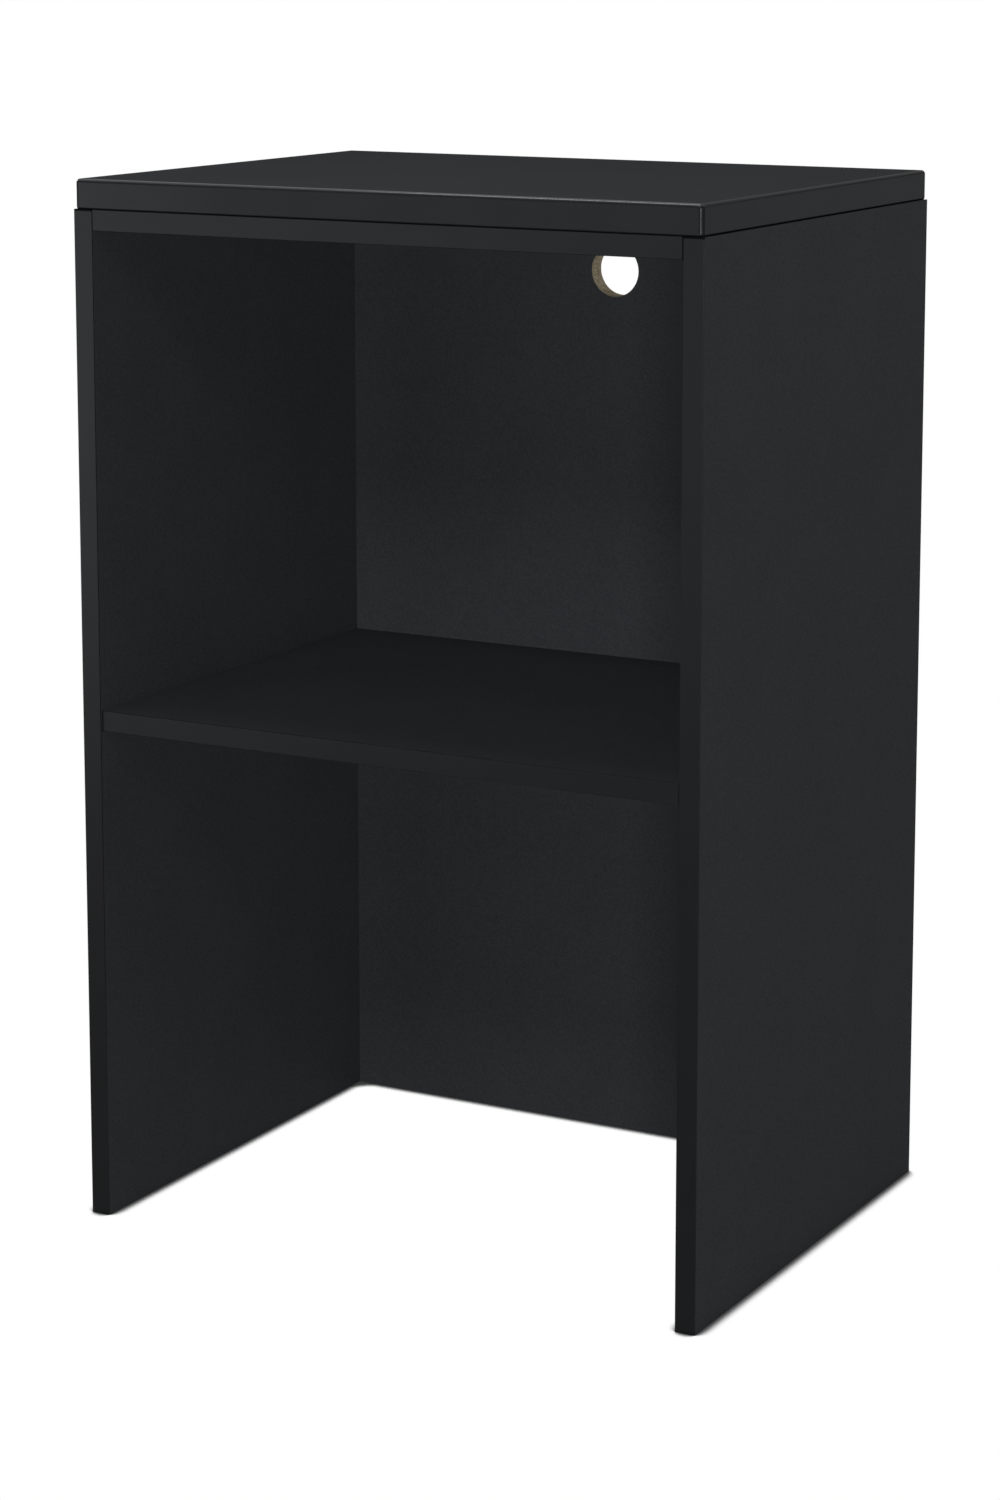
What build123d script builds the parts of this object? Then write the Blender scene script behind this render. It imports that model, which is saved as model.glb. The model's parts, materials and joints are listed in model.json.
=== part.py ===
from build123d import *
import math
import os

# Microwave hutch: an open box of laminated boards with a worktop, a fixed shelf and a cord hole.
# Millimetres. The origin is on the floor at the middle of the footprint. +Z is up, the open front
# faces -Y, and +X is to the right of someone standing in front.

# Overall size, from the floor to the worktop's upper face
WIDTH = 622.0
DEPTH = 472.0
HEIGHT = 960.0

# Boards
BOARD = 19.0  # sides, back, shelf and sub-top
WORKTOP = 27.0
SHELF_TOP = 478.0  # floor to the shelf's upper face
SHELF_SETBACK = 2.5  # shelf's front edge, behind the sides' front edges
SUB_TOP_SETBACK = 1.0
BACK_INSET = 3.0  # back panel's rear face, in from the sides' rear edges
WORKTOP_INSET = 1.5  # worktop's ends, in from the sides' outer faces

# Edge bands and their rounding
BAND = 1.0
BAND_EASE = 0.6
WORKTOP_BAND = 3.0
WORKTOP_CORNER_R = 4.0
WORKTOP_UPPER_R = 3.5
WORKTOP_LOWER_R = 2.0

# Cord hole through the back panel
CORD_HOLE_D = 50.0
CORD_HOLE_DROP = 59.0  # its centre, below the sub-top's underside

# Where the fittings sit along the joints
BOARD_CAM_MARGIN = 60.0  # cam's axis, in from the sides' front edges and from the back panel
BACK_CAM_MARGIN = 100.0  # cam's axis, from the floor and from the worktop
DOWEL_STEP = 32.0  # dowel's axis, from the cam beside it

# Cam: a disc in a pocket, with an off-centre hollow that draws the bolt's head in as it turns
CAM_POCKET_D = 15.0
CAM_FIT = 0.1  # radial running clearance
CAM_BACKSET = 24.0  # cam's axis, from the joint between the two boards
CAM_RECESS = 0.2  # cam's face, below the board's face
CAM_BELOW_BOLT = 4.7  # cam's length past the bolt's axis
CAM_FLOOR_GAP = 0.3
CAM_THROW = 1.0  # how far the hollow is off centre
CAM_TURN = 180.0  # degrees, from locked to free
HOLLOW_GAP = 0.2  # bolt's head to the hollow's wall
HOLLOW_HEIGHT_GAP = 0.4
WINDOW_GAP = 0.25  # bolt's head to the window that it comes in by
SLOT_GAP = 0.3  # bolt's neck to the slot that it runs in
DRIVE_LENGTH = 7.0
DRIVE_WIDTH = 1.4
DRIVE_DEPTH = 3.0
POINTER_SIZE = 1.3
POINTER_DEPTH = 0.5

# Cam bolt
BOLT_THREAD_D = 6.0
BOLT_THREAD_LENGTH = 11.0
BOLT_SHANK_D = 7.0
BOLT_SHANK_GAP = 0.8  # shank's end to the cam's rim
BOLT_NECK_D = 3.2
BOLT_HEAD_D = 5.2
BOLT_HEAD_UNDER = 2.2  # head's underside, before the cam's axis
BOLT_HEAD_PAST = 0.8  # head's end, past the cam's axis
BOLT_CHAMFER = 0.5
BOLT_BORE_GAP = 0.5  # shank to its bore

# Dowel
DOWEL_D = 8.0
DOWEL_IN_SIDE = 11.0
DOWEL_IN_BOARD = 21.0
DOWEL_CHAMFER = 1.0

# Countersunk screws
SCREW_D = 5.0
SCREW_HEAD_D = 10.0
SCREW_HEAD_RIM = 0.5
SCREW_TIP = 4.0
SCREW_DRIVE_LENGTH = 5.0
SCREW_DRIVE_WIDTH = 1.1
SCREW_DRIVE_DEPTH = 2.0
SCREW_SPREAD_X = 200.0  # outer screws, from the middle one
SCREW_SPREAD_Y = 150.0  # worktop screws, in front of and behind the middle
BACK_SCREW_BITE = 31.0  # past the back panel, into the board's rear edge
WORKTOP_SCREW_COVER = 11.0  # board left above the worktop screws' tips

# Fits of fixed pieces in their holes
HOLE_FIT = 0.05
HOLE_END_GAP = 0.5

# Planes that the boards meet on
FRONT = -DEPTH / 2
REAR = DEPTH / 2
OUTER = WIDTH / 2
INNER = OUTER - BOARD
CARCASS_TOP = HEIGHT - WORKTOP
SUB_TOP_UNDER = CARCASS_TOP - BOARD
SUB_TOP_MID = CARCASS_TOP - BOARD / 2
SHELF_UNDER = SHELF_TOP - BOARD
SHELF_MID = SHELF_TOP - BOARD / 2
BACK_REAR = REAR - BACK_INSET
BACK_FRONT = BACK_REAR - BOARD
BACK_MID = BACK_REAR - BOARD / 2
CORD_HOLE_HEIGHT = SUB_TOP_UNDER - CORD_HOLE_DROP

SIDES = {"left": -1, "right": 1}
BOARD_CAM_ROWS = {"front": FRONT + BOARD_CAM_MARGIN, "rear": BACK_FRONT - BOARD_CAM_MARGIN}
BACK_CAM_ROWS = {
    "lower": BACK_CAM_MARGIN,
    "middle": SHELF_MID,
    "upper": CARCASS_TOP - BACK_CAM_MARGIN,
}
CAM_R = CAM_POCKET_D / 2 - CAM_FIT
BOLT_SIDE = 180.0  # degrees round the cam, from the joint's x axis to the bolt


def block(x_span, y_span, z_span):
    """A box from the lowest to the highest value on each axis."""
    spans = (x_span, y_span, z_span)
    middle = [(low + high) / 2 for low, high in spans]
    size = [high - low for low, high in spans]
    return Pos(*middle) * Box(*size)


def turned(points, axis):
    """The solid that an outline makes when it turns about an axis."""
    return revolve(make_face(Polyline(*points, close=True)), axis=axis)


# Joints between two boards. Each has a frame on the side panel's inner face, at the middle of the
# board's thickness: x runs into the board, and z points out of the face that its cam sits in.
def joint_frame(sign, y, z, cam_face):
    return Plane(origin=(sign * INNER, y, z), x_dir=(-sign, 0, 0), z_dir=cam_face).location


def level_joint(sign, y, height):
    return joint_frame(sign, y, height, (0, 0, -1))


def back_joint(sign, height):
    return joint_frame(sign, BACK_MID, height, (0, 1, 0))


def level_cam_frames(name, height):
    return {
        f"{name}_cam_{hand}_{row}": level_joint(sign, y, height)
        for hand, sign in SIDES.items()
        for row, y in BOARD_CAM_ROWS.items()
    }


def level_dowel_frames(height):
    rows = (BOARD_CAM_ROWS["front"] + DOWEL_STEP, BOARD_CAM_ROWS["rear"] - DOWEL_STEP)
    return [level_joint(sign, y, height) for sign in SIDES.values() for y in rows]


def back_cam_frames():
    return {
        f"back_cam_{hand}_{row}": back_joint(sign, height)
        for hand, sign in SIDES.items()
        for row, height in BACK_CAM_ROWS.items()
    }


def back_dowel_frames():
    rows = (BACK_CAM_ROWS["lower"] + DOWEL_STEP, BACK_CAM_ROWS["upper"] - DOWEL_STEP)
    return [back_joint(sign, height) for sign in SIDES.values() for height in rows]


def cam():
    """A locked cam. Its slot runs round from the bolt's neck to the window that frees the head."""
    face = BOARD / 2 - CAM_RECESS
    under = -CAM_BELOW_BOLT
    disc = Pos(0, 0, (face + under) / 2) * Cylinder(CAM_R, face - under)
    head_r = BOLT_HEAD_D / 2
    hollow_r = math.hypot(BOLT_HEAD_UNDER, head_r) + CAM_THROW + HOLLOW_GAP
    hollow = Pos(CAM_THROW, 0, 0) * Cylinder(hollow_r, 2 * (head_r + HOLLOW_HEIGHT_GAP))
    slot_half = BOLT_NECK_D / 2 + SLOT_GAP
    slot_spare = math.degrees(math.asin(slot_half / (hollow_r - CAM_THROW)))
    slot_sweep = CAM_TURN + 2 * slot_spare
    window_turn = Rot(0, 0, BOLT_SIDE - CAM_TURN)
    slot_turn = window_turn * Rot(0, 0, -slot_spare)
    slot = slot_turn * Cylinder(CAM_POCKET_D, 2 * slot_half, arc_size=slot_sweep)
    window = Pos(CAM_POCKET_D / 2, 0, 0) * Rot(0, 90, 0) * Cylinder(head_r + WINDOW_GAP, CAM_POCKET_D)
    pointer = extrude(RegularPolygon(POINTER_SIZE, 3), POINTER_DEPTH)
    pointer = Pos((DRIVE_LENGTH / 2 + CAM_R) / 2, 0, face - POINTER_DEPTH) * pointer
    drive_bar = Pos(0, 0, face - DRIVE_DEPTH / 2) * Box(DRIVE_LENGTH, DRIVE_WIDTH, DRIVE_DEPTH)
    drive = [drive_bar, Rot(0, 0, 90) * drive_bar]
    disc = disc - [hollow, slot, window_turn * window, window_turn * pointer] - drive
    return Pos(CAM_BACKSET, 0, 0) * disc


def cam_pocket():
    """What a cam and its bolt take out of the board."""
    depth = BOARD / 2 + CAM_BELOW_BOLT + CAM_FLOOR_GAP
    pocket = Pos(CAM_BACKSET, 0, (BOARD - depth) / 2) * Cylinder(CAM_POCKET_D / 2, depth)
    bore_r = BOLT_SHANK_D / 2 + BOLT_BORE_GAP
    bore = Pos(CAM_BACKSET / 2, 0, 0) * Rot(0, 90, 0) * Cylinder(bore_r, CAM_BACKSET)
    return [pocket, bore]


def cam_bolt():
    """A bolt along x: thread in the side panel, shank and neck in the board, head in the cam."""
    thread_r = BOLT_THREAD_D / 2
    shank_r = BOLT_SHANK_D / 2
    neck_r = BOLT_NECK_D / 2
    head_r = BOLT_HEAD_D / 2
    shank_end = CAM_BACKSET - CAM_R - BOLT_SHANK_GAP
    head_start = CAM_BACKSET - BOLT_HEAD_UNDER
    head_end = CAM_BACKSET + BOLT_HEAD_PAST
    outline = [
        (-BOLT_THREAD_LENGTH, 0),
        (-BOLT_THREAD_LENGTH, thread_r - BOLT_CHAMFER),
        (-BOLT_THREAD_LENGTH + BOLT_CHAMFER, thread_r),
        (0, thread_r),
        (0, shank_r),
        (shank_end - BOLT_CHAMFER, shank_r),
        (shank_end, shank_r - BOLT_CHAMFER),
        (shank_end, neck_r),
        (head_start, neck_r),
        (head_start, head_r),
        (head_end - BOLT_CHAMFER, head_r),
        (head_end, head_r - BOLT_CHAMFER),
        (head_end, 0),
    ]
    return turned(outline, Axis.X)


def bolt_hole():
    """The hole for a bolt's thread in the side panel."""
    depth = BOLT_THREAD_LENGTH + HOLE_END_GAP
    return [Pos(-depth / 2, 0, 0) * Rot(0, 90, 0) * Cylinder(BOLT_THREAD_D / 2 + HOLE_FIT, depth)]


def dowel():
    middle = (DOWEL_IN_BOARD - DOWEL_IN_SIDE) / 2
    peg = Cylinder(DOWEL_D / 2, DOWEL_IN_SIDE + DOWEL_IN_BOARD)
    peg = chamfer(peg.edges().filter_by(GeomType.CIRCLE), DOWEL_CHAMFER)
    return Pos(middle, 0, 0) * Rot(0, 90, 0) * peg


def dowel_hole():
    """One bore right through the joint, which each board takes its own end of."""
    low = -DOWEL_IN_SIDE - HOLE_END_GAP
    high = DOWEL_IN_BOARD + HOLE_END_GAP
    return [Pos((low + high) / 2, 0, 0) * Rot(0, 90, 0) * Cylinder(DOWEL_D / 2 + HOLE_FIT, high - low)]


def screw_blank(length, grow):
    """A countersunk screw along +Z with its head's face at z = 0. Grow makes its hole."""
    head_r = SCREW_HEAD_D / 2
    shank_r = SCREW_D / 2
    cone_end = SCREW_HEAD_RIM + head_r - shank_r
    outline = [
        (0, 0, -grow),
        (head_r + grow, 0, -grow),
        (head_r + grow, 0, SCREW_HEAD_RIM),
        (shank_r + grow, 0, cone_end),
        (shank_r + grow, 0, length - SCREW_TIP),
        (0, 0, length + grow),
    ]
    return turned(outline, Axis.Z)


def screw(length):
    bar = Pos(0, 0, SCREW_DRIVE_DEPTH / 2) * Box(SCREW_DRIVE_LENGTH, SCREW_DRIVE_WIDTH, SCREW_DRIVE_DEPTH)
    return screw_blank(length, 0) - [bar, Rot(0, 0, 90) * bar]


def screw_hole(length):
    return [screw_blank(length, HOLE_FIT)]


# Places of the screws, with z of each frame along the screw
def back_screw_frames(height):
    return [
        Plane(origin=(x, BACK_REAR, height), x_dir=(1, 0, 0), z_dir=(0, -1, 0)).location
        for x in (-SCREW_SPREAD_X, 0, SCREW_SPREAD_X)
    ]


def worktop_screw_frames():
    return [
        Pos(x, y, SUB_TOP_UNDER)
        for x in (-SCREW_SPREAD_X, 0, SCREW_SPREAD_X)
        for y in (-SCREW_SPREAD_Y, SCREW_SPREAD_Y)
    ]


def placed(frames, pieces):
    """Each piece at each frame."""
    return [frame * piece for frame in frames for piece in pieces]


def group(frames, piece):
    """One node of separate, identical solids."""
    return Compound(children=[frame * piece for frame in frames])


shelf_cams = level_cam_frames("shelf", SHELF_MID)
sub_top_cams = level_cam_frames("sub_top", SUB_TOP_MID)
back_cams = back_cam_frames()
shelf_dowels = level_dowel_frames(SHELF_MID)
sub_top_dowels = level_dowel_frames(SUB_TOP_MID)
back_dowels = back_dowel_frames()
shelf_screws = back_screw_frames(SHELF_MID)
sub_top_screws = back_screw_frames(SUB_TOP_MID)
worktop_screws = worktop_screw_frames()
back_screw_length = BOARD + BACK_SCREW_BITE
worktop_screw_length = BOARD + WORKTOP - WORKTOP_SCREW_COVER

all_cams = {**shelf_cams, **sub_top_cams, **back_cams}
all_dowels = shelf_dowels + sub_top_dowels + back_dowels
nodes = {}


def add_worktop():
    half = OUTER - WORKTOP_INSET
    slab = block((-half, half), (FRONT, REAR), (CARCASS_TOP, HEIGHT))
    slab = fillet(slab.edges().filter_by(Axis.Z), WORKTOP_CORNER_R)
    slab = fillet(slab.faces().sort_by(Axis.Z)[-1].edges(), WORKTOP_UPPER_R)
    slab = fillet(slab.faces().sort_by(Axis.Z)[0].edges(), WORKTOP_LOWER_R)
    core_x = half - WORKTOP_BAND
    core_y = REAR - WORKTOP_BAND
    height_span = (CARCASS_TOP, HEIGHT)
    long_span = (-half, half)
    short_span = (-core_y, core_y)
    core = slab & block((-core_x, core_x), short_span, height_span)
    nodes["worktop"] = core - placed(worktop_screws, screw_hole(worktop_screw_length))
    nodes["worktop_band_front"] = slab & block(long_span, (FRONT, -core_y), height_span)
    nodes["worktop_band_rear"] = slab & block(long_span, (core_y, REAR), height_span)
    nodes["worktop_band_left"] = slab & block((-half, -core_x), short_span, height_span)
    nodes["worktop_band_right"] = slab & block((core_x, half), short_span, height_span)


def add_sides():
    height_span = (0, CARCASS_TOP)
    for hand, sign in SIDES.items():
        wall = tuple(sorted((sign * INNER, sign * OUTER)))
        slab = block(wall, (FRONT, REAR), height_span)
        slab = fillet(slab.edges().filter_by(Axis.Z), BAND_EASE)
        panel = slab & block(wall, (FRONT + BAND, REAR - BAND), height_span)
        panel = panel - placed(all_cams.values(), bolt_hole()) - placed(all_dowels, dowel_hole())
        nodes[f"{hand}_side_panel"] = panel
        nodes[f"{hand}_side_band_front"] = slab & block(wall, (FRONT, FRONT + BAND), height_span)
        nodes[f"{hand}_side_band_rear"] = slab & block(wall, (REAR - BAND, REAR), height_span)


def add_level_board(name, setback, z_span, cuts):
    width_span = (-INNER, INNER)
    front = FRONT + setback
    slab = block(width_span, (front, BACK_FRONT), z_span)
    slab = fillet(slab.edges().filter_by(Axis.X).group_by(Axis.Y)[0], BAND_EASE)
    nodes[f"{name}_panel"] = (slab & block(width_span, (front + BAND, BACK_FRONT), z_span)) - cuts
    nodes[f"{name}_band_front"] = slab & block(width_span, (front, front + BAND), z_span)


def add_shelf():
    cuts = placed(shelf_cams.values(), cam_pocket())
    cuts += placed(shelf_dowels, dowel_hole())
    cuts += placed(shelf_screws, screw_hole(back_screw_length))
    add_level_board("shelf", SHELF_SETBACK, (SHELF_UNDER, SHELF_TOP), cuts)


def add_sub_top():
    cuts = placed(sub_top_cams.values(), cam_pocket())
    cuts += placed(sub_top_dowels, dowel_hole())
    cuts += placed(sub_top_screws, screw_hole(back_screw_length))
    cuts += placed(worktop_screws, screw_hole(worktop_screw_length))
    add_level_board("sub_top", SUB_TOP_SETBACK, (SUB_TOP_UNDER, CARCASS_TOP), cuts)


def add_back():
    panel = block((-INNER, INNER), (BACK_FRONT, BACK_REAR), (0, CARCASS_TOP))
    cord_hole = Pos(0, BACK_MID, CORD_HOLE_HEIGHT) * Rot(90, 0, 0) * Cylinder(CORD_HOLE_D / 2, BOARD)
    cuts = [cord_hole]
    cuts += placed(back_cams.values(), cam_pocket())
    cuts += placed(back_dowels, dowel_hole())
    cuts += placed(shelf_screws + sub_top_screws, screw_hole(back_screw_length))
    nodes["back_panel"] = panel - cuts


def add_fittings():
    for name, frame in all_cams.items():
        nodes[name] = frame * cam()
    nodes["shelf_cam_bolts"] = group(shelf_cams.values(), cam_bolt())
    nodes["sub_top_cam_bolts"] = group(sub_top_cams.values(), cam_bolt())
    nodes["back_cam_bolts"] = group(back_cams.values(), cam_bolt())
    nodes["shelf_dowels"] = group(shelf_dowels, dowel())
    nodes["sub_top_dowels"] = group(sub_top_dowels, dowel())
    nodes["back_dowels"] = group(back_dowels, dowel())
    nodes["back_screws"] = group(shelf_screws + sub_top_screws, screw(back_screw_length))
    nodes["worktop_screws"] = group(worktop_screws, screw(worktop_screw_length))


add_worktop()
add_sides()
add_shelf()
add_sub_top()
add_back()
add_fittings()

os.makedirs("parts", exist_ok=True)
for name, shape in nodes.items():
    export_step(shape, f"parts/{name}.step")
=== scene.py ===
import json
import math

import bmesh
import bpy
from mathutils import Matrix, Vector


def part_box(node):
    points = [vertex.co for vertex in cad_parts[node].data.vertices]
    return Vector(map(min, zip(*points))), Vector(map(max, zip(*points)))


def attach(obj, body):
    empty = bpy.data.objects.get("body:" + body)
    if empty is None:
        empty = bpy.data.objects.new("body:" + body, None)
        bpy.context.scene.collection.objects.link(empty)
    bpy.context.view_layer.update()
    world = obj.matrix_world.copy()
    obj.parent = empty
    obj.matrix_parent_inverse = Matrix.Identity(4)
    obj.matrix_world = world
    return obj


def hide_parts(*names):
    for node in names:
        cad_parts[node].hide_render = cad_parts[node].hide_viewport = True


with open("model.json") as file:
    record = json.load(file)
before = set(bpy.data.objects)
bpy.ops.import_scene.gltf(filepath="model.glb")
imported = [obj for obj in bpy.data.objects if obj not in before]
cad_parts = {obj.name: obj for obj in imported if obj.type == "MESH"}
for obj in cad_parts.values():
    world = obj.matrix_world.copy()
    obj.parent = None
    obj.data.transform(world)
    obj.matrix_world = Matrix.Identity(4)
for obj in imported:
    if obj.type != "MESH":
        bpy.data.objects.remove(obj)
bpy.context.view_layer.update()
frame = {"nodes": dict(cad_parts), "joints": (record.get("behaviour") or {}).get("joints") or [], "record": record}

# Looks of a black microwave hutch: the finishes of its laminated boards, plastic edge bands and cams, and
# bolts, screws and dowels with their threads and flutes. Metres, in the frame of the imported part: the open
# front faces -Y and +Z is up.

MM = 0.001
X, Y, Z = 0, 1, 2

# Camera
LENS = 86.75  # mm, for a 36 mm long side
CAMERA_PLACE = (1.577, -2.869, 1.181)
CAMERA_YAW = 28.92  # degrees, to the left of +Y
CAMERA_PITCH = 9.17  # degrees, below level
CAMERA_SHIFT = -0.16  # keeps upright edges nearly upright

# Laminate
LAMINATE_BLACK = (0.0173, 0.0178, 0.0189, 1)
LAMINATE_GREY = (0.0254, 0.0261, 0.0273, 1)
LAMINATE_SKIN = 0.3 * MM  # its thickness
LAMINATE_ROUGHNESS = 0.5
LAMINATE_COAT = 0.045  # share of a full gloss coat
LAMINATE_SATIN = 0.45  # that coat's roughness
PEBBLE = 0.55 * MM
PEBBLE_DEPTH = 0.025 * MM
MOTTLE = 1.5 * MM
MOTTLE_SHARE = 0.88  # of the change in colour, the rest being from handling
BOARD_HANDLING = 90 * MM  # size of the patches that hands leave
SHADED_TOP = 0.5 * MM  # how far down the sides' upper ends a painted shade reaches: black laminate instead of raw board, where they show in the joint under the worktop

# Particle board, which shows wherever a board is cut
COARSE_CHIP = 2.2 * MM
FINE_CHIP = 0.8 * MM
FINE_LAYER = 3.5 * MM  # fine chips under each face, coarse ones in the middle
FIBRE = 0.5 * MM
CHIP_DEPTH = 0.25 * MM
CHIP_SHADES = (
    (0.0, (0.075, 0.053, 0.030, 1)),
    (0.3, (0.150, 0.117, 0.072, 1)),
    (0.65, (0.225, 0.187, 0.122, 1)),
    (1.0, (0.330, 0.287, 0.203, 1)),
)
TEAR_OUT = 0.5 * MM  # how far the laminate is chipped away round the cord hole
TEAR_PATCH = 3.0 * MM

# Edge bands: thin ones on the boards, thick glossier ones round the worktop
BAND_BLACK = (0.0018, 0.0019, 0.0021, 1)
BAND_GREY = (0.0027, 0.0028, 0.0031, 1)
BAND_ROUGHNESS = 0.36
BAND_COAT = 0.17
BAND_SATIN = 0.37
BAND_HANDLING = 60 * MM
ROLLER_LINE = 0.7 * MM  # width of the lines left by the roller that pressed the band on
ROLLER_STRETCH = 60.0  # their length, in widths
ROLLER_DEPTH = 0.012 * MM
ROLLER_SHARE = 0.6  # of the change in colour, the rest being from handling
WORKTOP_BAND_BLACK = (0.0055, 0.0057, 0.0062, 1)
WORKTOP_BAND_GREY = (0.0075, 0.0077, 0.0084, 1)
WORKTOP_BAND_COAT = 0.08
WORKTOP_BAND_SATIN = 0.20
ARRIS = 3.5 * MM  # the worktop's rounded upper edge
POLISH_START = 0.6  # share of the arris, down from the top, where its gloss sets in
POLISH_FULL = 0.4
ARRIS_COAT = 0.18
FRONT_ARRIS_COAT = 0.80  # the gloss that hands give it at the front
# colour of the painted shade in the joints between bands and boards
PAINTED_SHADE_BLACK = (0.002, 0.002, 0.002, 1)
JOINT_SHADE = 2.0 * MM  # how far the painted shade in the joint reaches up the worktop's bands
JOINT_CORE = 0.2  # share of that which is fully dark
END_SHADE = 2.0 * MM  # how far painted shade reaches in from the right or upper end of the other bands
END_CORE = 0.5

# Die-cast zinc
ZINC_CLEAN = (0.36, 0.365, 0.38, 1)
ZINC_STAINED = (0.25, 0.255, 0.27, 1)
ZINC_STAIN = 4.0 * MM
ZINC_GRAIN = 0.35 * MM
ZINC_GRAIN_DEPTH = 0.03 * MM
ZINC_ROUGHNESS = 0.38

# Zinc-plated steel
STEEL_BRIGHT = (0.47, 0.48, 0.50, 1)
STEEL_DULL = (0.35, 0.37, 0.41, 1)
STEEL_BLOOM = 2.5 * MM
STEEL_SCRATCH = 0.2 * MM
STEEL_SCRATCH_DEPTH = 0.015 * MM
STEEL_ROUGHNESS = 0.26

# Beech
BEECH_DARK = (0.56, 0.36, 0.20, 1)
BEECH_PALE = (0.72, 0.52, 0.33, 1)
BEECH_BROWN = (0.30, 0.16, 0.08, 1)
BEECH_GRAIN = 0.6 * MM
BEECH_GRAIN_DEPTH = 0.05 * MM
BEECH_FLECK = 0.5 * MM
BEECH_ROUGHNESS = 0.6

# Threads: the core's radius, the pitch, and the tip's length and narrowest share of the full width
SCREW_THREAD = {"core": 1.65 * MM, "pitch": 2.2 * MM, "tip": 4.5 * MM, "point": 0.1}
SCREW_PLAIN = 8.0 * MM  # head and plain shank, before the thread
BOLT_THREAD = {"core": 2.15 * MM, "pitch": 1.9 * MM, "tip": 1.0 * MM, "point": 0.75}
BOLT_THREAD_LENGTH = 10.6 * MM
SHOULDER = 0.4 * MM  # from the plain shank down to the core
RIDGE_WIDTH = 0.42  # share of the pitch
RIDGE_SINK = 0.15 * MM  # how far a thread's ridge goes into its core
RIDGE_STEPS = 20  # to one turn
TRIANGLE_HEIGHT = 1.5  # of a triangle whose corners lie 1 from its middle
TRIANGLE_SIDE = math.sqrt(3)
TRIANGLE_MIDDLE = 0.5  # its middle, above its lowest side
SHARP_ANGLE = 35  # degrees, past which an edge isn't shaded smooth
WELD = 0.002 * MM  # vertices as near as this are one

# Dowels
FLUTES = 18
FLUTE_STEPS = 3  # points round the dowel for each flute, of which one is its bottom
FLUTE_DEPTH = 0.35 * MM
DOWEL_CHAMFER = 1.0 * MM

# Light: each softbox has its place, the point it faces, its two sides and its power in watts
SOFTBOXES = {
    "front_softbox": ((2.75, -5.20, 0.90), (0.0, 0.0, 0.5), (1.0, 1.0), 268.0),
    "high_softbox": ((0.00, -2.50, 2.75), (0.0, -0.1, 0.6), (0.8, 0.8), 74.0),
    "left_softbox": ((-1.75, -2.00, 0.55), (-0.3, -0.2, 0.55), (0.6, 1.05), 15.0),
    "middle_softbox": ((-0.90, -2.20, 0.62), (0.0, -0.2, 0.62), (0.9, 0.95), 7.2),
    "overhead_strip": ((-0.23, -0.25, 2.20), (0.0, -0.25, 0.95), (0.22, 0.9), 6.2),
    "rear_softbox": ((1.60, 1.60, 2.00), (0.2, 0.2, 0.7), (1.0, 1.0), 17.5),
    "right_softbox": ((1.50, 2.30, 0.85), (0.3, 0.0, 0.7), (0.9, 0.6), 2.5),
    "side_softbox": ((4.25, -3.45, 0.60), (-0.2, 0.0, 0.5), (0.35, 0.9), 61.0),
    "back_softbox": ((-2.00, 2.00, 0.50), (0.0, 0.0, 0.5), (0.8, 0.8), 80.0),
}
COOL_LIGHT = (0.94, 0.97, 1.0)  # the lamps' colour
ROOM_LIGHT = (0.147, 0.151, 0.156, 1)  # faint light from all round
WHITE = (1, 1, 1, 1)

# Floor, and the painted shadow on it where the boards stand
FLOOR_SIZE = 80.0
FLOOR_COLOUR = (0.40, 0.40, 0.40, 1)  # for the light that it throws back, while the eye sees white
CONTACT_REACH = 0.022  # how far the painted shadow spreads
CONTACT_SAMPLES = 16
CONTACT_SHADES = (  # by how much open room the floor has over it
    (0.5, (0.04, 0.04, 0.04, 1)),
    (0.6, (0.11, 0.11, 0.11, 1)),
    (0.76, WHITE),
)


class Wire:
    """A shader socket that maths can be done on."""

    def __init__(self, finish, socket):
        self.finish = finish
        self.socket = socket

    def maths(self, operation, *values):
        return self.finish.node("Math", {"operation": operation}, dict(enumerate(values)))

    def __add__(self, other):
        return self.maths("ADD", self, other)

    def __sub__(self, other):
        return self.maths("SUBTRACT", self, other)

    def __rsub__(self, other):
        return self.maths("SUBTRACT", other, self)

    def __mul__(self, other):
        return self.maths("MULTIPLY", self, other)

    def __pow__(self, other):
        return self.maths("POWER", self, other)

    def __rpow__(self, other):
        return self.maths("POWER", other, self)

    def __lt__(self, other):
        return self.maths("LESS_THAN", self, other)

    def __gt__(self, other):
        return self.maths("GREATER_THAN", self, other)

    def __or__(self, other):
        return self.maths("MAXIMUM", self, other)

    def __abs__(self):
        return self.maths("ABSOLUTE", self)

    __radd__ = __add__
    __rmul__ = __mul__
    __ror__ = __or__

    def swing(self, strength):
        """A random pattern, moved to lie about 0 and made weaker or stronger."""
        return (self - 0.5) * strength


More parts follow.
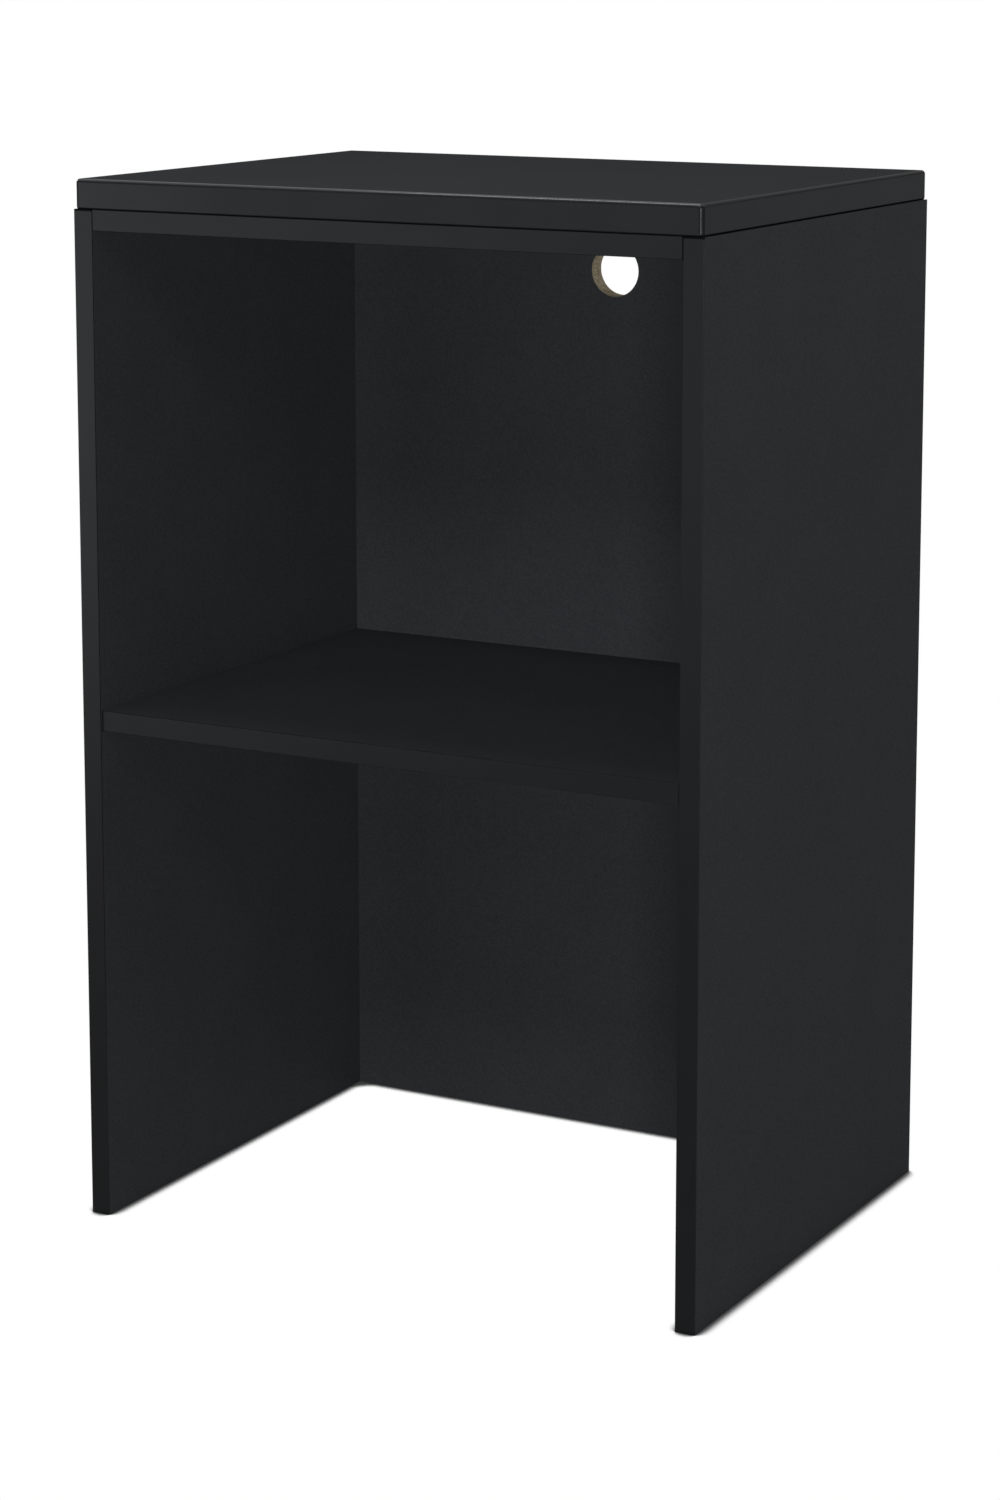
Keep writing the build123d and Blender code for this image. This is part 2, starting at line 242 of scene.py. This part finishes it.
class Finish:
    """The nodes of a material, or of the world, in the making."""

    def __init__(self, owner):
        owner.use_nodes = True
        self.owner = owner
        self.tree = owner.node_tree
        self.tree.nodes.clear()

    def node(self, kind, settings=None, sockets=None, output=0):
        """A node of any kind: its settings first, then the values or links of its sockets."""
        made = self.tree.nodes.new("ShaderNode" + kind)
        for name, value in (settings or {}).items():
            if name == "stops":
                set_stops(made.color_ramp, value)
            else:
                setattr(made, name, value)
        for name, value in (sockets or {}).items():
            if isinstance(value, Wire):
                self.tree.links.new(value.socket, made.inputs[name])
            else:
                made.inputs[name].default_value = value
        return Wire(self, made.outputs[output] if made.outputs else None)

    def place(self, stretch=(1, 1, 1), turn=(0, 0, 0)):
        """Where a point of the piece is, stretched and turned for a pattern."""
        sockets = {
            "Vector": self.node("TexCoord", output="Object"),
            "Scale": [1 / share for share in stretch],
            "Rotation": [math.radians(angle) for angle in turn],
        }
        return self.node("Mapping", sockets=sockets)

    def along(self, axis):
        """How far along an axis a point of the piece is."""
        return self.node("SeparateXYZ", sockets={0: self.place()}, output=axis)

    def clouds(self, size, detail=2.0, stretch=(1, 1, 1), turn=(0, 0, 0)):
        """Soft random values, mostly from 0.3 to 0.7, in patches of about that size."""
        sockets = {"Vector": self.place(stretch, turn), "Scale": 1 / size, "Detail": detail}
        return self.node("TexNoise", sockets=sockets)

    def chips(self, size, stretch=(1, 1, 1), turn=(0, 0, 0)):
        """One random value from 0 to 1 for each chip of about that size."""
        sockets = {"Vector": self.place(stretch, turn), "Scale": 1 / size}
        shade = self.node("TexVoronoi", sockets=sockets, output="Color")
        return self.node("SeparateColor", sockets={0: shade})

    def ease(self, value, low, high):
        """0 up to low, 1 from high, and a smooth way between."""
        settings = {"interpolation_type": "SMOOTHSTEP"}
        return self.node("MapRange", settings, {"Value": value, "From Min": low, "From Max": high})

    def ramp(self, value, stops):
        """Colours by the stops on either side of a value."""
        return self.node("ValToRGB", {"stops": stops}, {"Fac": value})

    def tint(self, share, first, second):
        """Colours from the first to the second, by the sockets that Mix has for colours."""
        return self.node("Mix", {"data_type": "RGBA"}, {0: share, 6: first, 7: second}, output=2)

    def blend(self, share, first, second):
        """Values from the first to the second, by the sockets that Mix has for values."""
        return self.node("Mix", {"data_type": "FLOAT"}, {0: share, 2: first, 3: second})

    def relief(self, height, depth):
        """Surface directions that make a pattern look that deep."""
        return self.node("Bump", sockets={"Height": height, "Distance": depth, "Strength": 1.0})

    def show(self, shader, kind="OutputMaterial"):
        """The material or world, now with that shader on it."""
        self.node(kind, sockets={"Surface": shader})
        return self.owner

    def shader(self, **sockets):
        """A surface's shader. A socket's name has _ for each space."""
        named = {name.replace("_", " "): value for name, value in sockets.items()}
        return self.node("BsdfPrincipled", sockets=named)

    def surface(self, **sockets):
        """The material, with one such shader all over it."""
        return self.show(self.shader(**sockets))


def set_stops(ramp, stops):
    while len(ramp.elements) < len(stops):
        ramp.elements.new(1.0)
    for element, (position, colour) in zip(ramp.elements, stops):
        element.position = position
        element.color = colour


def new_finish(name):
    return Finish(bpy.data.materials.new(name))


def laminate(finish):
    """Black satin laminate: a pebbled face, mottled and a little changed where hands touch it."""
    pebble = finish.clouds(PEBBLE, detail=2.0)
    mottle = finish.clouds(MOTTLE, detail=3.0)
    handling = finish.clouds(BOARD_HANDLING, detail=3.0)
    speckle = finish.ease(mottle, 0.3, 0.7) * MOTTLE_SHARE
    touched = finish.ease(handling, 0.35, 0.65) * (1 - MOTTLE_SHARE)
    return finish.shader(
        Base_Color=finish.tint(speckle + touched, LAMINATE_BLACK, LAMINATE_GREY),
        Roughness=LAMINATE_ROUGHNESS + pebble.swing(0.15) + handling.swing(0.12),
        Specular_IOR_Level=0.0,
        Coat_Weight=LAMINATE_COAT,
        Coat_Roughness=LAMINATE_SATIN,
        Normal=finish.relief(pebble, PEBBLE_DEPTH),
    )


def particle_board(finish, depth):
    """Raw particle board: coarse flat chips in the middle, fine ones by the faces."""
    coarse = finish.chips(COARSE_CHIP, stretch=(1.6, 1.0, 0.6), turn=(20, 35, 15))
    fine = finish.chips(FINE_CHIP, stretch=(1.4, 1.0, 0.7), turn=(50, 10, 65))
    chip = finish.blend(finish.ease(depth, FINE_LAYER - MM, FINE_LAYER + MM), fine, coarse)
    fibre = finish.clouds(FIBRE, detail=4.0, stretch=(4.0, 1.0, 1.0), turn=(15, 40, 25))
    shade = chip * 0.7 + fibre * 0.5 - 0.1  # mostly from 0 to 1
    return finish.shader(
        Base_Color=finish.ramp(shade, CHIP_SHADES),
        Roughness=0.85,
        Specular_IOR_Level=0.2,
        Normal=finish.relief(shade, CHIP_DEPTH),
    )


def torn_rim(finish, hole):
    """1 where the laminate is chipped away round a hole through the back, and 0 elsewhere."""
    across = finish.along(X) - hole["pos_m"][X]
    up = finish.along(Z) - hole["pos_m"][Z]
    from_rim = (across ** 2 + up ** 2) ** 0.5 - hole["dims"]["r_mm"] * MM
    ragged = finish.ease(finish.clouds(TEAR_PATCH, detail=3.0), 0.42, 0.72)
    return from_rim < ragged * TEAR_OUT


def laminated_board(name, node, thickness_axis, hole=None, shaded_top=False):
    """Laminate on a board's two faces, and raw particle board wherever it is cut."""
    finish = new_finish(name)
    low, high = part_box(node)
    middle = (low[thickness_axis] + high[thickness_axis]) / 2
    half = (high[thickness_axis] - low[thickness_axis]) / 2
    depth = half - abs(finish.along(thickness_axis) - middle)
    cut = depth > LAMINATE_SKIN
    # painted shade: the upper end shows black laminate, not raw board, in the joint under the worktop
    if shaded_top:
        cut = cut * (finish.along(Z) < high[Z] - SHADED_TOP)
    if hole:
        cut = cut | torn_rim(finish, hole)
    sockets = {0: cut, 1: laminate(finish), 2: particle_board(finish, depth)}
    return finish.show(finish.node("MixShader", sockets=sockets))


def band(finish, length_axis, black, grey, unshaded, coat, satin):
    """Black plastic with faint roller lines along it, and painted shade, dark and without gloss, where its face
    isn't open.
    """
    stretch = [1.0, 1.0, 1.0]
    stretch[length_axis] = ROLLER_STRETCH
    streak = finish.clouds(ROLLER_LINE, detail=3.0, stretch=stretch)
    handling = finish.clouds(BAND_HANDLING, detail=3.0)
    lines = finish.ease(streak, 0.3, 0.7) * ROLLER_SHARE
    touched = finish.ease(handling, 0.35, 0.65) * (1 - ROLLER_SHARE)
    return finish.surface(
        Base_Color=finish.tint(unshaded, PAINTED_SHADE_BLACK, finish.tint(lines + touched, black, grey)),
        Roughness=BAND_ROUGHNESS + streak.swing(0.16) + handling.swing(0.12),
        Specular_IOR_Level=0.0,
        Coat_Weight=unshaded * coat,
        Coat_Roughness=satin,
        Normal=finish.relief(streak, ROLLER_DEPTH),
    )


def edge_band(name, node, length_axis):
    """Thin band, with painted shade at its right or upper end, where it meets a joint, and none at its other end.
    """
    finish = new_finish(name)
    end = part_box(node)[1][length_axis]
    unshaded = finish.ease(end - finish.along(length_axis), END_CORE * END_SHADE, END_SHADE)
    return band(finish, length_axis, BAND_BLACK, BAND_GREY, unshaded, BAND_COAT, BAND_SATIN)


def worktop_band(name, length_axis, arris_coat=ARRIS_COAT):
    """Thick band, with painted shade in the joint under it, and glossier on its rounded upper edge."""
    finish = new_finish(name)
    low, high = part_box("worktop")
    height = finish.along(Z)
    unshaded = finish.ease(height, low[Z] + JOINT_CORE * JOINT_SHADE, low[Z] + JOINT_SHADE)
    polish = finish.ease(height, high[Z] - POLISH_START * ARRIS, high[Z] - POLISH_FULL * ARRIS)
    coat = finish.blend(polish, WORKTOP_BAND_COAT, arris_coat)
    colours = (WORKTOP_BAND_BLACK, WORKTOP_BAND_GREY)
    return band(finish, length_axis, *colours, unshaded, coat, WORKTOP_BAND_SATIN)


def die_cast_zinc():
    """Grey metal with a fine cast grain and duller stains."""
    finish = new_finish("die_cast_zinc")
    grain = finish.clouds(ZINC_GRAIN, detail=3.0)
    stain = finish.ease(finish.clouds(ZINC_STAIN, detail=4.0), 0.35, 0.7)
    return finish.surface(
        Base_Color=finish.tint(stain, ZINC_CLEAN, ZINC_STAINED),
        Metallic=1.0,
        Roughness=ZINC_ROUGHNESS + stain * 0.16 + grain.swing(0.2),
        Normal=finish.relief(grain, ZINC_GRAIN_DEPTH),
    )


def plated_steel():
    """Brighter metal with bluish bloom and fine scratches."""
    finish = new_finish("zinc_plated_steel")
    bloom = finish.ease(finish.clouds(STEEL_BLOOM, detail=4.0), 0.35, 0.7)
    scratch = finish.clouds(STEEL_SCRATCH, detail=3.0, stretch=(8.0, 1.0, 1.0), turn=(20, 30, 40))
    return finish.surface(
        Base_Color=finish.tint(bloom, STEEL_BRIGHT, STEEL_DULL),
        Metallic=1.0,
        Roughness=STEEL_ROUGHNESS + bloom * 0.12 + scratch.swing(0.2),
        Normal=finish.relief(scratch, STEEL_SCRATCH_DEPTH),
    )


def beech():
    """Pale wood with its grain along x, and the short brown flecks that beech has."""
    finish = new_finish("beech")
    grain = finish.clouds(BEECH_GRAIN, detail=4.0, stretch=(14.0, 1.0, 1.0))
    fleck = finish.chips(BEECH_FLECK, stretch=(5.0, 1.0, 1.0)) > 0.9  # one chip in ten
    tone = finish.tint(finish.ease(grain, 0.3, 0.7), BEECH_DARK, BEECH_PALE)
    return finish.surface(
        Base_Color=finish.tint(fleck * 0.5, tone, BEECH_BROWN),
        Roughness=BEECH_ROUGHNESS + grain.swing(0.2),
        Specular_IOR_Level=0.3,
        Normal=finish.relief(grain, BEECH_GRAIN_DEPTH),
    )


def of_kind(geometry, kind):
    return [item for item in geometry if isinstance(item, kind)]


def copy_solids(node):
    """A CAD node's solids as one shape, with loose triangles merged and stored normals left out."""
    piece = frame["nodes"][node]
    mesh = piece.data.copy()
    mesh.attributes.remove(mesh.attributes["custom_normal"])
    shape = bmesh.new()
    shape.from_mesh(mesh)
    bpy.data.meshes.remove(mesh)
    shape.transform(piece.matrix_world)
    bmesh.ops.remove_doubles(shape, verts=shape.verts, dist=WELD)
    return shape


def split_solids(shape):
    """The vertices of each separate solid in a shape."""
    waiting = dict.fromkeys(shape.verts)  # a dict, because a set has no steady order
    solids = []
    while waiting:
        solid = [waiting.popitem()[0]]
        for vert in solid:
            for edge in vert.link_edges:
                other = edge.other_vert(vert)
                if other in waiting:
                    del waiting[other]
                    solid.append(other)
        solids.append(solid)
    return solids


def box_of(verts):
    """The lowest and highest corner of the box round some vertices."""
    low = Vector([min(vert.co[axis] for vert in verts) for axis in (X, Y, Z)])
    high = Vector([max(vert.co[axis] for vert in verts) for axis in (X, Y, Z)])
    return low, high


def draw_out(shape, rim, middle, along, stages):
    """Carry an open rim along an axis in stages, each a length and a change of size, then close it."""
    for length, share in stages:
        made = bmesh.ops.extrude_edge_only(shape, edges=rim)["geom"]
        verts = of_kind(made, bmesh.types.BMVert)
        middle = middle + along * length
        bmesh.ops.translate(shape, verts=verts, vec=along * length)
        bmesh.ops.scale(shape, verts=verts, vec=[share] * 3, space=Matrix.Translation(-middle))
        rim = [edge for edge in of_kind(made, bmesh.types.BMEdge) if edge.is_boundary]
    bmesh.ops.edgeloop_fill(shape, edges=rim)


def narrow_ridge(ridge, start, along, length, base, thread):
    """Fade a thread's ridge in over its first turn, and draw it in along its tip."""
    for vert in ridge.verts:
        way = (vert.co - start).dot(along)
        on_axis = start + along * way
        from_axis = vert.co - on_axis
        fade = min(1, way / thread["pitch"])
        past_tip = max(0, (way - length) / thread["tip"] + 1)
        radius = base + (from_axis.length - base) * fade
        radius *= 1 - (1 - thread["point"]) * past_tip
        vert.co = on_axis + from_axis.normalized() * radius


def wind_ridge(shape, start, along, length, crest, thread):
    """Add a thread's ridge: a triangle wound round the core from start."""
    width = RIDGE_WIDTH * thread["pitch"]
    base = thread["core"] - RIDGE_SINK
    outward = along.orthogonal().normalized()
    up = outward * (crest - base) / TRIANGLE_HEIGHT
    aside = along * width / TRIANGLE_SIDE
    middle = start + along * width / 2 + outward * base + up * TRIANGLE_MIDDLE
    turned = Matrix((aside, up, outward.cross(along))).transposed().to_4x4()
    profile = Matrix.Translation(middle) @ turned
    ridge = bmesh.new()
    bmesh.ops.create_circle(ridge, cap_ends=True, segments=3, radius=1.0, matrix=profile)
    steps = int((length - width) / thread["pitch"] * RIDGE_STEPS)
    bmesh.ops.spin(
        ridge,
        geom=ridge.verts[:] + ridge.edges[:] + ridge.faces[:],
        cent=start,
        axis=along,
        dvec=along * thread["pitch"] / RIDGE_STEPS,
        angle=steps * math.tau / RIDGE_STEPS,
        steps=steps,
    )
    narrow_ridge(ridge, start, along, length, base, thread)
    mesh = bpy.data.meshes.new("ridge")
    ridge.to_mesh(mesh)
    ridge.free()
    shape.from_mesh(mesh)
    bpy.data.meshes.remove(mesh)


def cut_thread(shape, solid, along, start, thread):
    """Swap a solid's plain shank, from a distance along an axis on, for a threaded one."""
    length = max(vert.co.dot(along) for vert in solid) - start
    middle = sum(box_of(solid), Vector()) / 2
    middle += along * (start - middle.dot(along))
    edges = dict.fromkeys(edge for vert in solid for edge in vert.link_edges)
    faces = dict.fromkeys(face for vert in solid for face in vert.link_faces)
    cut = bmesh.ops.bisect_plane(
        shape,
        geom=[*solid, *edges, *faces],
        plane_co=middle,
        plane_no=along,
        clear_outer=True,
    )
    rim = of_kind(cut["geom_cut"], bmesh.types.BMEdge)
    crest = max((vert.co - middle).length for vert in of_kind(cut["geom_cut"], bmesh.types.BMVert))
    stages = (
        (SHOULDER, thread["core"] / crest),
        (length - SHOULDER - thread["tip"], 1),
        (thread["tip"], thread["point"]),
    )
    draw_out(shape, rim, middle, along, stages)
    wind_ridge(shape, middle, along, length, crest, thread)


def flute_dowel(shape, low, high):
    """Add a dowel along x that fills a box, with flutes for the glue and chamfered ends."""
    along = Vector((1, 0, 0))
    end = (low + high) / 2
    end.x = low.x
    radius = (high.y - low.y) / 2
    narrow = (radius - DOWEL_CHAMFER) / radius
    fluted = 1 - FLUTE_DEPTH / radius
    from_end = Matrix.Translation(-end)
    across = Matrix.Translation(end) @ Matrix.Rotation(math.radians(90), 4, "Y")
    points = FLUTE_STEPS * FLUTES
    ring = bmesh.ops.create_circle(shape, segments=points, radius=radius, matrix=across)["verts"]
    bmesh.ops.scale(shape, verts=ring[::FLUTE_STEPS], vec=[fluted] * 3, space=from_end)
    bmesh.ops.scale(shape, verts=ring, vec=[narrow] * 3, space=from_end)
    rim = list(dict.fromkeys(edge for vert in ring for edge in vert.link_edges))
    bmesh.ops.edgeloop_fill(shape, edges=rim)
    stages = (
        (DOWEL_CHAMFER, 1 / narrow),
        (high.x - low.x - 2 * DOWEL_CHAMFER, 1),
        (DOWEL_CHAMFER, narrow),
    )
    draw_out(shape, rim, end, along, stages)


def add_piece(shape, node, name, material):
    """A detailed piece in the place of a CAD node."""
    bmesh.ops.recalc_face_normals(shape, faces=shape.faces)
    mesh = bpy.data.meshes.new(name)
    shape.to_mesh(mesh)
    shape.free()
    mesh.shade_smooth()
    mesh.set_sharp_from_angle(angle=math.radians(SHARP_ANGLE))
    mesh.materials.append(material)
    piece = bpy.data.objects.new(name, mesh)
    bpy.context.scene.collection.objects.link(piece)
    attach(piece, "carcass")
    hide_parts(node)


def add_bolts(node, material):
    """Cam bolts, whose threads point away from the middle of the hutch."""
    shape = copy_solids(node)
    for solid in split_solids(shape):
        along = Vector((math.copysign(1, solid[0].co.x), 0, 0))
        far_end = max(vert.co.dot(along) for vert in solid)
        cut_thread(shape, solid, along, far_end - BOLT_THREAD_LENGTH, BOLT_THREAD)
    add_piece(shape, node, f"{node}_threaded", material)


def add_screws(node, along, material):
    """Countersunk screws, whose tips all point along one axis."""
    shape = copy_solids(node)
    for solid in split_solids(shape):
        head = min(vert.co.dot(along) for vert in solid)
        cut_thread(shape, solid, along, head + SCREW_PLAIN, SCREW_THREAD)
    add_piece(shape, node, f"{node}_threaded", material)


def add_dowels(node, material):
    """Fluted dowels, each in the box of a plain one."""
    solids = copy_solids(node)
    shape = bmesh.new()
    for solid in split_solids(solids):
        flute_dowel(shape, *box_of(solid))
    solids.free()
    add_piece(shape, node, f"{node}_fluted", material)


def dress(node, material):
    """Give a CAD node its material."""
    for slot in frame["nodes"][node].material_slots:
        slot.material = material


def dress_boards():
    mounts = {mount["name"]: mount for mount in frame["record"]["mounts"]}
    hole = mounts["cord_hole"]
    dress("back_panel", laminated_board("back_laminate", "back_panel", Y, hole))
    dress("worktop", laminated_board("worktop_laminate", "worktop", Z))
    dress("shelf_panel", laminated_board("shelf_laminate", "shelf_panel", Z))
    dress("sub_top_panel", laminated_board("sub_top_laminate", "sub_top_panel", Z))
    for hand in ("left", "right"):
        panel = f"{hand}_side_panel"
        dress(panel, laminated_board(f"{hand}_side_laminate", panel, X, shaded_top=True))


def dress_bands():
    crosswise = edge_band("edge_band_crosswise", "shelf_band_front", X)
    upright = edge_band("edge_band_upright", "left_side_band_front", Z)
    for node in ("shelf_band_front", "sub_top_band_front"):
        dress(node, crosswise)
    worktop_lengthwise = worktop_band("worktop_band_lengthwise", Y)
    dress("worktop_band_front", worktop_band("worktop_band_front", X, FRONT_ARRIS_COAT))
    dress("worktop_band_rear", worktop_band("worktop_band_rear", X))
    for hand in ("left", "right"):
        dress(f"worktop_band_{hand}", worktop_lengthwise)
        dress(f"{hand}_side_band_front", upright)
        dress(f"{hand}_side_band_rear", upright)


def dress_fittings():
    zinc = die_cast_zinc()
    steel = plated_steel()
    wood = beech()
    for joint in frame["joints"]:
        dress(joint["child"], zinc)
    for board in ("shelf", "sub_top", "back"):
        add_bolts(f"{board}_cam_bolts", steel)
        add_dowels(f"{board}_dowels", wood)
    add_screws("back_screws", Vector((0, -1, 0)), steel)
    add_screws("worktop_screws", Vector((0, 0, 1)), steel)


def background_rays(finish):
    """1 for rays that should see the white background, 0 for rays that light the object."""
    seen = finish.node("LightPath", output="Is Camera Ray")
    mirrored = finish.node("LightPath", output="Is Glossy Ray")
    through = finish.node("LightPath", output="Is Transmission Ray")
    return seen | mirrored | through


def floor_finish():
    """White to the eye but for a painted shadow under the boards, pale grey to the light, clear from below."""
    finish = new_finish("pale_floor")
    settings = {"samples": CONTACT_SAMPLES}
    open_room = finish.node("AmbientOcclusion", settings, {"Distance": CONTACT_REACH}, "AO")
    painted_shadow = finish.ramp(open_room, CONTACT_SHADES)
    lit = finish.node("BsdfDiffuse", sockets={"Color": FLOOR_COLOUR})
    white = finish.node("Emission", sockets={"Color": painted_shadow})
    upper = finish.node("MixShader", sockets={0: background_rays(finish), 1: lit, 2: white})
    beneath = finish.node("NewGeometry", output="Backfacing")
    clear = finish.node("BsdfTransparent")
    return finish.show(finish.node("MixShader", sockets={0: beneath, 1: upper, 2: clear}))


def lay_floor():
    shape = bmesh.new()
    bmesh.ops.create_grid(shape, x_segments=1, y_segments=1, size=FLOOR_SIZE / 2)
    mesh = bpy.data.meshes.new("floor")
    shape.to_mesh(mesh)
    shape.free()
    mesh.materials.append(floor_finish())
    floor = bpy.data.objects.new("floor", mesh)
    bpy.context.scene.collection.objects.link(floor)


def light_room():
    world = bpy.data.worlds.new("studio")
    bpy.context.scene.world = world
    finish = Finish(world)
    sky = finish.tint(background_rays(finish), ROOM_LIGHT, WHITE)
    finish.show(finish.node("Background", sockets={"Color": sky}), "OutputWorld")


def hang_softboxes():
    for name, (place, target, sides, power) in SOFTBOXES.items():
        lamp = bpy.data.lights.new(name, "AREA")
        lamp.shape = "RECTANGLE"
        lamp.size, lamp.size_y = sides
        lamp.energy = power
        lamp.color = COOL_LIGHT
        softbox = bpy.data.objects.new(name, lamp)
        softbox.location = place
        aim = Vector(target) - Vector(place)
        softbox.rotation_euler = aim.to_track_quat("-Z", "Y").to_euler()
        softbox.visible_camera = False
        bpy.context.scene.collection.objects.link(softbox)


def set_camera():
    eye = bpy.data.cameras.new("camera")
    eye.lens = LENS
    eye.shift_y = CAMERA_SHIFT
    camera = bpy.data.objects.new("camera", eye)
    camera.location = CAMERA_PLACE
    camera.rotation_euler = (math.radians(90 - CAMERA_PITCH), 0, math.radians(CAMERA_YAW))
    bpy.context.scene.collection.objects.link(camera)
    bpy.context.scene.camera = camera


bpy.context.scene.view_settings.view_transform = "Standard"
set_camera()
dress_boards()
dress_bands()
dress_fittings()
lay_floor()
light_room()
hang_softboxes()
